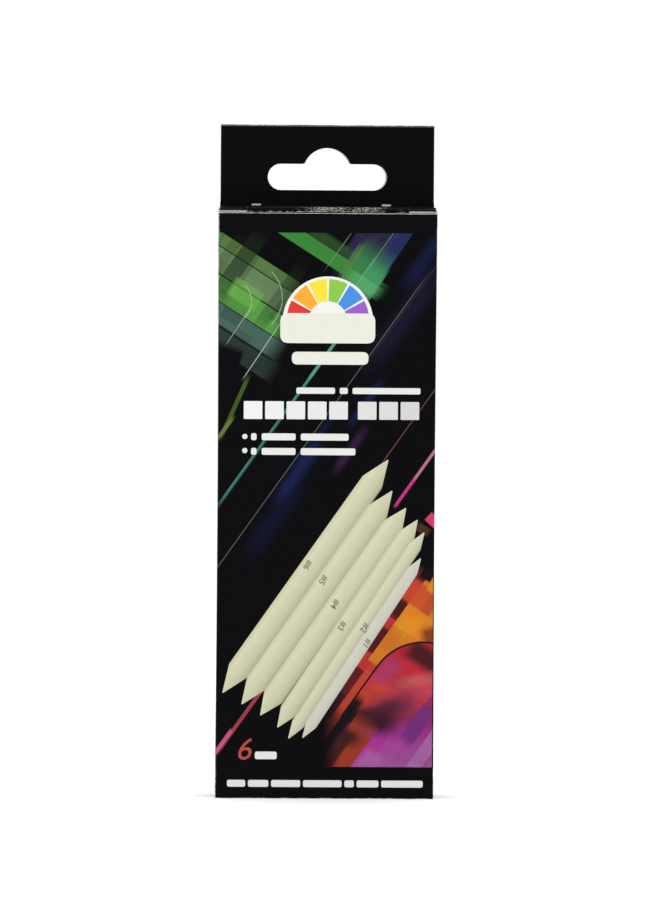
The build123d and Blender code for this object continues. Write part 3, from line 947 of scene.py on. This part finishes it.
for side, node in ((-1, "left_side_panel"), (1, "right_side_panel")):
    low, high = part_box(node)
    outer, inner = (
        [(side * (HALF_WIDTH - inset), y) for y in (low.y, (low.y + high.y) / 2, high.y)]
        for inset in (SKIN, BOARD)
    )
    panel = board_sheet(node + "_sheet", outer, inner, low.z, high.z, 24, True, side_print, drawn_in)
    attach(panel, "carton")
    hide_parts(node)

back_low, back_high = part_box("back_panel")
corner = (-HALF_WIDTH + BEND, HALF_DEPTH - BEND)
outer, inner = (
    arc(corner, BEND - inset, 180, 90, 6) + [(0, HALF_DEPTH - inset), (back_high.x, HALF_DEPTH - inset)]
    for inset in (SKIN, BOARD)
)
back_sheet = board_sheet("back_sheet", outer, inner, back_low.z, back_high.z, 24, True, back_print, drawn_in)
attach(back_sheet, "carton")
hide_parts("back_panel")

flap_low, flap_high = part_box("glue_flap")
corner = (HALF_WIDTH - BEND, flap_high.y - BEND)
outer = arc(corner, BEND - SKIN, 0, 90, 6) + [(flap_low.x, flap_high.y)]
inner = arc(corner, BEND - BOARD, 0, 90, 6) + [(flap_low.x, flap_high.y - BOARD)]
glue_sheet = board_sheet("glue_sheet", outer, inner, flap_low.z, flap_high.z, 24, True, side_print, drawn_in)
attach(glue_sheet, "carton")
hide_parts("glue_flap")

# Hang tab.
# The back panel's board runs up past the lid, folds over and comes down glued to itself, so the tab is
# two plies thick. The euro slot is punched through both plies, which never land quite in line.

tab_low, tab_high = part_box("hang_tab_front_ply")
# Pale blue-grey of a painted sheen along the tab's top fold
FOLD_PAINTED_SHEEN = (0.60, 0.60, 0.66)


def tab_colour(tree, shader, outward):
    """Ink on a ply's outer face and over its fold, with a painted sheen on the fold, raw board on its cut
    edges and its glued face.
    """
    place_mm, x, y, z = board_place(tree)
    normal = placed(tree, "NewGeometry").outputs["Normal"]
    facing = parts(tree, vector_maths(tree, "MULTIPLY", normal, (1, outward, 1)))
    to_top = maths(tree, "SUBTRACT", tab_high.z / MM, z)
    flat = ramp_down(tree, facing[1], 0.35, 0.6)
    folded = ramp_down(tree, to_top, 0.45, 0.5)
    cut = maths(tree, "MULTIPLY", flat, maths(tree, "SUBTRACT", 1.0, folded))
    end = maths(tree, "GREATER_THAN", maths(tree, "ABSOLUTE", facing[0]), 0.7)
    cut = maths(tree, "MAXIMUM", cut, end)
    fold_worn = wear_near(tree, place_mm, to_top, 0.55, 0.34)
    side_worn = wear_near(tree, place_mm, to_sides(tree, x, tab_high.x / MM), 0.3, 0.3)
    specks = ramp_down(tree, maths(tree, "SUBTRACT", 0.8, noise(tree, place_mm, 0.55, 1.0)), -0.02, 0.01)
    worn = maths(tree, "MAXIMUM", maths(tree, "MAXIMUM", fold_worn, side_worn), specks)
    fibre = use(tree, board_fibre, Place=place_mm)
    ink = mixed(tree, maths(tree, "MULTIPLY", fibre["Mottle"], HAZE), INK_BLACK, VARNISH_HAZE)
    # Painted sheen: near the top fold the ink is mixed a little towards pale blue-grey, standing in for a
    # highlight
    ink = mixed(tree, maths(tree, "MULTIPLY", folded, 0.15), ink, FOLD_PAINTED_SHEEN)
    ink = mixed(tree, worn, ink, RAW_BOARD)
    fill(tree, shader.inputs["Base Color"], mixed(tree, cut, ink, RAW_BOARD))
    rough = maths(tree, "MULTIPLY_ADD", maths(tree, "MAXIMUM", cut, worn), 0.5, 0.4)
    fill(tree, shader.inputs["Roughness"], rough)


for node, outward in (("hang_tab_front_ply", -1), ("hang_tab_rear_ply", 1)):
    material, shader = plain_material(node.replace("_", " "), INK_BLACK, 0.4)
    tab_colour(material.node_tree, shader, outward)
    shader.inputs["Specular IOR Level"].default_value = VARNISH_GLOSS
    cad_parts[node].data.materials.clear()
    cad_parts[node].data.materials.append(material)

# Lid, its creases and its tuck flap.
# The lid is hinged at the foot of the tab's front ply. Its front crease is slit at both ends, so two raw
# lips stay level with the lid while the tuck flap folds down; the slits lock behind the dust flaps.

LID_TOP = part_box("lid_panel")[1].z / MM
SKIN_MM, BOARD_MM = SKIN / MM, BOARD / MM
SLIT = 0.0075  # how far each slit runs in from the side
CREASE_REACH = 0.0012  # how far the rear crease's bend reaches on to the panel
BEND_START, BEND_FOOT = 2.2, 1.4  # the front bend's two ends, on the panel and on the tuck, in millimetres
LIP_DROOP = [
    (BEND_START, 0.0), (1.5, 0.03), (1.0, 0.14), (0.5, 0.38), (0.0, 0.72), (-0.3, 0.98), (-0.42, 1.1)
]


def bend_wear(tree, place_mm, x, y, z):
    """Worn ink along a bend: specks, more of them in the middle, and a bare line where it turns down."""
    middle = ramp_down(tree, maths(tree, "ABSOLUTE", maths(tree, "SUBTRACT", x, 3.0)), 7.0, 15.0)
    turn_down = ramp_down(tree, y, -6.3, -5.2)
    amount = maths(tree, "MULTIPLY_ADD", maths(tree, "MULTIPLY", middle, turn_down), 0.2, 0.1)
    specks = wear_near(tree, place_mm, 0.0, 1.0, amount)
    specks = maths(tree, "MULTIPLY", specks, maths(tree, "MULTIPLY_ADD", middle, -0.25, 0.7))
    from_end = maths(tree, "MINIMUM", z, maths(tree, "SUBTRACT", LID_TOP, z))
    to_line = maths(tree, "ABSOLUTE", maths(tree, "SUBTRACT", from_end, 1.35))
    stretched = vector_maths(tree, "MULTIPLY", place_mm, (0.3, 1.0, 1.0))
    return maths(tree, "MAXIMUM", specks, wear_near(tree, stretched, to_line, 0.35, 0.3))


bend_print = printed_board("bend print", None, bend_wear)
black_print = printed_board("black print")

for top, lid_node, tuck_node, lid_body, tuck_body in (
    (True, "lid_panel", "lid_tuck_flap", "lid", "lid_tuck"),
    (False, "bottom_panel", "bottom_tuck_flap", "bottom", "bottom_tuck"),
):
    panel_low, panel_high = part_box(lid_node)
    blade_low, blade_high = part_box(tuck_node)
    out = 1 if top else -1
    outer_z = panel_high.z if top else panel_low.z  # the printed side
    bend_y = blade_low.y + SKIN
    half_x = panel_high.x
    notch_x = half_x - SLIT

    def turned_over(points):
        """Section points in millimetres from the crease's corner: (into the carton, down the tuck)."""
        return [(bend_y + a * MM, outer_z - out * b * MM) for a, b in points]

    def quarter_turn(across, down):
        """The round of the front bend, by its reach forward and its reach out."""
        angles = [math.radians(degrees) for degrees in range(0, 91, 10)]
        return [(1.0 - across * math.sin(a), 1.0 - down * math.cos(a)) for a in angles]

    # Panel, from its rear crease to the start of the front bend
    rear_y = panel_high.y - CREASE_REACH
    outer, inner = (
        turned_over([(BEND_START, inset / MM)]) + [(y, outer_z - out * inset) for y in (0, rear_y)]
        for inset in (SKIN, BOARD)
    )
    panel = board_sheet(lid_node + "_sheet", outer, inner, -half_x, half_x, 8, False, black_print)
    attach(panel, lid_body)
    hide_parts(lid_node)

    # Front bend: it runs from the panel round on to the tuck flap
    outer = [(BEND_START, SKIN_MM), (1.6, SKIN_MM), *quarter_turn(1.0, 1.0 - SKIN_MM), (0.0, BEND_FOOT)]
    inner = [(BEND_START, BOARD_MM), (1.6, BOARD_MM), *quarter_turn(0.55, 0.55), (BOARD_MM, BEND_FOOT)]
    bend = board_sheet(
        tuck_node + "_bend", turned_over(outer), turned_over(inner), -notch_x, notch_x, 60, False, bend_print
    )
    start = Vector((0, bend_y + 1.5 * MM, outer_z))
    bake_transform(bend)

    # Lips: the slit ends of the bend, drooping a little and cut ragged
    def ragged(point):
        """A point of a lip, moved in more the nearer it is to the torn edge and to the lip's ends."""
        share = min(max((bend_y + 1.2 * MM - point.y) / (1.6 * MM), 0), 1)
        to_end = min(abs(abs(point.x) - notch_x), half_x - abs(point.x)) / MM
        round_off = 0.7 * max(0.0, 1 - to_end / 0.9) ** 2
        wave = 0.10 * math.sin(point.x / MM * 4.1) + 0.07 * math.sin(point.x / MM * 9.7 + 1.0)
        return point + Vector((0, share * (round_off + 0.1 + wave) * MM * 0.6, share * wave * 0.35 * MM))

    outer = turned_over([(a, b + SKIN_MM) for a, b in LIP_DROOP])
    inner = turned_over([(a + 0.06, b + BOARD_MM) for a, b in LIP_DROOP])
    for side, word in ((-1, "left"), (1, "right")):
        ends = sorted((side * (notch_x + 0.0001), side * half_x))
        lip = board_sheet(f"{lid_node}_lip_{word}", outer, inner, *ends, 40, False, bend_print, ragged)
        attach(lip, lid_body)

    # Tuck blade: rounded corners, and shoulders that reach past the slits
    blade_half, length = blade_high.x / MM, (blade_high.z - blade_low.z) / MM
    outline = rounded_outline([
        (-blade_half, BEND_FOOT, 0.3), (blade_half, BEND_FOOT, 0.3), (blade_half, length, 4.0),
        (-blade_half, length, 4.0),
    ])
    blade = cut_sheet(
        tuck_node + "_blade", outline,
        lambda u, v, w: (u * MM, blade_low.y + SKIN + w, outer_z - out * v * MM), black_print,
    )
    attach(blade, tuck_body)
    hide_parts(tuck_node)


def valley_pale_flecks(tree, place_mm, x, y, z):
    """A few pale flecks in the raw board's colour near both ends of the lid's crease, at the foot of the tab,
    and fewer along the rest of it.
    """
    stretched = vector_maths(tree, "MULTIPLY", place_mm, (0.4, 1.0, 1.0))
    left = maths(tree, "ABSOLUTE", maths(tree, "ADD", x, 19.5))
    right = maths(tree, "ABSOLUTE", maths(tree, "SUBTRACT", x, 16.3))
    flecked = ramp_down(tree, maths(tree, "MINIMUM", left, right), 0.9, 1.6)
    to_line = maths(tree, "ABSOLUTE", maths(tree, "SUBTRACT", z, LID_TOP + 0.5))
    return wear_near(tree, stretched, to_line, 0.5, maths(tree, "MULTIPLY_ADD", flecked, 0.8, 0.04))


# Rear crease of the lid: a valley on the printed side, at the foot of the tab
lid_low, lid_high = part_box("lid_panel")
foot_y, lid_z = tab_low.y, lid_high.z
angles = [math.radians(degrees) for degrees in range(10, 91, 20)]
outer = [(foot_y - SKIN, lid_z + 0.0011), (foot_y - 2 * SKIN, lid_z + 0.0006)]
outer += [(foot_y - 0.0003 + 0.0003 * math.cos(a), lid_z + 0.0003 - 0.0003 * math.sin(a)) for a in angles]
outer += [(foot_y - 0.0013, lid_z - SKIN)]
inner = [(foot_y + 0.0001, lid_z + 0.0011), (foot_y + 0.00012, lid_z + 0.0006)]
inner += [(foot_y - 0.0003 + 0.0004 * math.cos(a), lid_z - 0.0001 - 0.00035 * math.sin(a)) for a in angles]
inner += [(foot_y - 0.0013, lid_z - BOARD)]
valley = board_sheet(
    "lid_valley", outer, inner, lid_low.x + 0.0001, lid_high.x - 0.0001, 40, False,
    printed_board("valley print", None, valley_pale_flecks),
)
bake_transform(valley)

# Rear crease of the bottom panel: a plain outside bend off the back panel
bottom_low, bottom_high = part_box("bottom_panel")
heel_radius = 0.00045
outer = [(HALF_DEPTH - SKIN, 0.0011)]
outer += arc((HALF_DEPTH - heel_radius, heel_radius), heel_radius - SKIN, 0, -90, 8)
outer += [(HALF_DEPTH - 0.0013, SKIN)]
inner = [(HALF_DEPTH - BOARD, 0.0011)]
inner += [(HALF_DEPTH - BOARD - 0.00002 * k, BOARD + 0.00002 * (8 - k)) for k in range(9)]
inner += [(HALF_DEPTH - 0.0013, BOARD)]
heel = board_sheet("bottom_heel", outer, inner, bottom_low.x, bottom_high.x, 40, False, bend_print)
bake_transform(heel)

# Dust flaps.
# One small flap off each side panel, top and bottom, lying under the lid and over the bottom panel. Each
# is cut back at the front, tapers at the rear and has rounded corners so that it slides in easily.

BEND_END = 1.3  # the bend runs this far, in millimetres, both ways from the crease's corner

for level, out in (("top", 1), ("bottom", -1)):
    for side, word in ((-1, "left"), (1, "right")):
        node = f"{level}_dust_flap_{word}"
        body = f"{level}_dust_{word}"
        low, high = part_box(node)
        outer_z = high.z if out > 0 else low.z
        root_x = side * HALF_WIDTH
        front, rear, reach = low.y / MM, high.y / MM, (high.x - low.x) / MM

        def strip_points(points):
            """Section points in millimetres from the crease's corner: (into the carton, down the side)."""
            return [(root_x - side * a * MM, outer_z - out * b * MM) for a, b in points]

        radius = BOARD_MM - SKIN_MM
        angles = [math.radians(degrees) for degrees in range(0, 91, 15)]
        outer = [(SKIN_MM, BEND_END), (SKIN_MM, 0.5)]
        outer += [(BOARD_MM - radius * math.cos(a), BOARD_MM - radius * math.sin(a)) for a in angles]
        outer += [(BEND_END, SKIN_MM)]
        inner = [(BOARD_MM, BEND_END), (BOARD_MM, 0.6)]
        inner += [(BOARD_MM + 0.02 * k, 0.57 - 0.02 * k) for k in range(7)] + [(BEND_END, BOARD_MM)]
        strip = board_sheet(
            node + "_bend", strip_points(outer), strip_points(inner), low.y, high.y, 12, True, bend_print,
            lambda point: Vector((point.x, point.z, point.y)),
        )
        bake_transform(strip)
        outline = rounded_outline([
            (BEND_END, front, 0), (reach, front + 0.9, 2.0), (reach, rear - 3.8, 2.0), (1.7, rear, 0.6),
            (BEND_END, rear, 0),
        ])
        blade = cut_sheet(
            node + "_blade", outline,
            lambda u, v, w: (root_x - side * u * MM, v * MM, outer_z - out * (SKIN + w * 0.97)), black_print,
        )
        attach(blade, body)
        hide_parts(node)

# Stumps, sizes 6 to 4.
# Soft grey-white paper rolled up solid, glued, then sanded to a long cone at both ends. The roll's last
# edge runs straight along the shaft, and the sanding bares its layers as rings on the cones.

STUMP_WHITE, STUMP_SHADE = (0.72, 0.71, 0.64), (0.52, 0.50, 0.43)
CONES = {6: 16.9, 5: 15.6, 4: 14.4, 3: 12.9, 2: 11.1, 1: 10.2}  # each size's cone, in millimetres
CLOSED_TIP, PINHOLE = 0.02, 0.38  # the radius of the hole left at the points, solid and wound on a core

# Paper roll: the layers, the sanded ends, the fuzz and the seam of paper wound about an upright axis.
paper_roll, given, result = new_group(
    "paper roll", {"Axis": None, "Shaft radius": 6.0, "Layer": 0.35, "Twist": 0.0},
    ["Layers", "Sanded", "Fuzz", "Seam"],
)
from_axis = vector_maths(paper_roll, "SUBTRACT", board_place(paper_roll)[0], given["Axis"])
across, behind, height = parts(paper_roll, from_axis)
radius_here = vector_maths(paper_roll, "LENGTH", flat_place(paper_roll, across, behind))
turns = maths(paper_roll, "DIVIDE", maths(paper_roll, "ARCTAN2", behind, across), 2 * math.pi)
wobble = maths(paper_roll, "MULTIPLY", noise(paper_roll, from_axis, 0.7, 3.0), 0.8)
layers = maths(paper_roll, "DIVIDE", radius_here, given["Layer"])
spiral = maths(paper_roll, "ADD", maths(paper_roll, "ADD", layers, turns), wobble)
line = maths(paper_roll, "PINGPONG", spiral, 0.5)
fill(paper_roll, result["Layers"], ramp_down(paper_roll, line, 0.02, 0.16))
below = maths(paper_roll, "SUBTRACT", given["Shaft radius"], radius_here)
on_shaft = ramp_down(paper_roll, below, 0.05, 0.35)
fill(paper_roll, result["Sanded"], maths(paper_roll, "SUBTRACT", 1.0, on_shaft))
stretched = vector_maths(paper_roll, "MULTIPLY", from_axis, (1, 1, 0.45))
fill(paper_roll, result["Fuzz"], noise(paper_roll, stretched, 3.2, 5.0, 0.75))
winding = maths(paper_roll, "ADD", maths(paper_roll, "MULTIPLY", height, given["Twist"]), 0.75)
seam_turn = maths(paper_roll, "PINGPONG", maths(paper_roll, "ADD", turns, winding), 0.5)
seam_near = maths(paper_roll, "MULTIPLY", seam_turn, maths(paper_roll, "MULTIPLY", radius_here, 2 * math.pi))
fill(paper_roll, result["Seam"], ramp_down(paper_roll, seam_near, 0.03, 0.2))


def rolled_paper(name, axis, shaft_radius, layer, twist, pale, dark):
    """Matt rolled paper, with layer rings on its sanded ends, a seam and a little fuzz."""
    material, shader = plain_material(name, pale, 0.95)
    tree = material.node_tree
    roll = use(tree, paper_roll, Axis=axis, Shaft_radius=shaft_radius, Layer=layer, Twist=twist)
    colour = mixed(tree, maths(tree, "MULTIPLY", roll["Fuzz"], 0.5), pale, dark)
    rings = maths(tree, "MULTIPLY", roll["Layers"], roll["Sanded"])
    colour = mixed(tree, maths(tree, "MULTIPLY", rings, 0.32), colour, dark)
    colour = mixed(tree, maths(tree, "MULTIPLY", roll["Seam"], 0.5), colour, dark)
    fill(tree, shader.inputs["Base Color"], colour)
    relief = maths(tree, "MULTIPLY_ADD", rings, -0.6, roll["Fuzz"])
    relief = maths(tree, "MULTIPLY_ADD", roll["Seam"], -0.8, relief)
    bumped(tree, shader, relief, 0.6, 0.00008)
    shader.inputs["Sheen Weight"].default_value = 0.3
    shader.inputs["Specular IOR Level"].default_value = 0.2
    return material


def stump_profile(radius, length, cone, bore):
    """Radius against height: point, cone, eased shoulder, shaft, and the same again upside down."""
    ease = min(1.1, cone * 0.1)
    slope = (radius - 0.9) / cone
    lower = [(bore, 0.25 if bore == PINHOLE else 0.1), (0.62, 0.0), (0.84, 0.12), (0.96, 0.38)]
    lower += [(0.9 + slope * (cone * k / 12), cone * k / 12) for k in range(1, 12)]
    lower += [
        (radius - slope * ease * 0.62, cone - ease * 0.45),
        (radius - slope * ease * 0.25, cone + ease * 0.15),
        (radius - slope * ease * 0.05, cone + ease * 0.8),
        (radius, cone + ease * 1.5),
    ]
    shaft = [(radius, cone + (length - 2 * cone) * k / 12) for k in range(1, 12)]
    return lower + shaft + [(r, length - z) for r, z in reversed(lower)]


def rolled_stump(size, sides, step_height, twist):
    """A stump's mesh: turned from its profile, with the roll's last edge standing up as a small step."""
    low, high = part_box(f"stump_{size}")
    axis = (low + high) / 2
    radius, length = (high.x - low.x) / 2 / MM, (high.z - low.z) / MM
    bore = PINHOLE if size <= 3 else CLOSED_TIP
    profile = stump_profile(radius, length, CONES[size], bore)
    points, faces = [], []
    for r, z in profile:
        full = min(max((r - 0.5 * radius) / (0.5 * radius), 0), 1)
        for k in range(sides):
            share = k / sides
            angle = 2 * math.pi * (share - 0.25 - twist * z)
            here = max(r - step_height * full * (1 - share) ** 0.6, bore * 0.9) * MM
            points.append((axis.x + here * math.cos(angle), axis.y + here * math.sin(angle), low.z + z * MM))
    rows = len(profile)
    for row in range(rows - 1):
        for k in range(sides):
            j = (k + 1) % sides
            faces.append((row * sides + k, row * sides + j, (row + 1) * sides + j, (row + 1) * sides + k))
    for base in (0, (rows - 1) * sides):
        faces.append(tuple(range(base, base + sides)))
    stump = smoothed(mesh_object(f"rolled_stump_{size}", points, faces), 32)
    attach(stump, f"stump_{size}")
    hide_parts(f"stump_{size}")
    return stump, (axis.x / MM, axis.y / MM, 0.0), radius


for size in (6, 5, 4):
    stump, axis, radius = rolled_stump(size, 72, 0.12, 0.0)
    paper = rolled_paper(f"stump paper {size}", axis, radius, 0.42, 0.0, STUMP_WHITE, STUMP_SHADE)
    stump.data.materials.append(paper)

# Tortillons, sizes 3 to 1.
# Thinner stumps wound on the slant from a strip of smooth white paper round a fine core that is drawn
# out again, so each has a slanting seam and a pinhole at both points.

TORTILLON_WHITE, TORTILLON_SHADE = (0.76, 0.77, 0.74), (0.55, 0.56, 0.52)
for size, twist in ((3, 0.018), (2, 0.024), (1, 0.03)):
    stump, axis, radius = rolled_stump(size, 60, 0.07, twist)
    name = f"tortillon paper {size}"
    stump.data.materials.append(
        rolled_paper(name, axis, radius, 0.22, twist, TORTILLON_WHITE, TORTILLON_SHADE)
    )
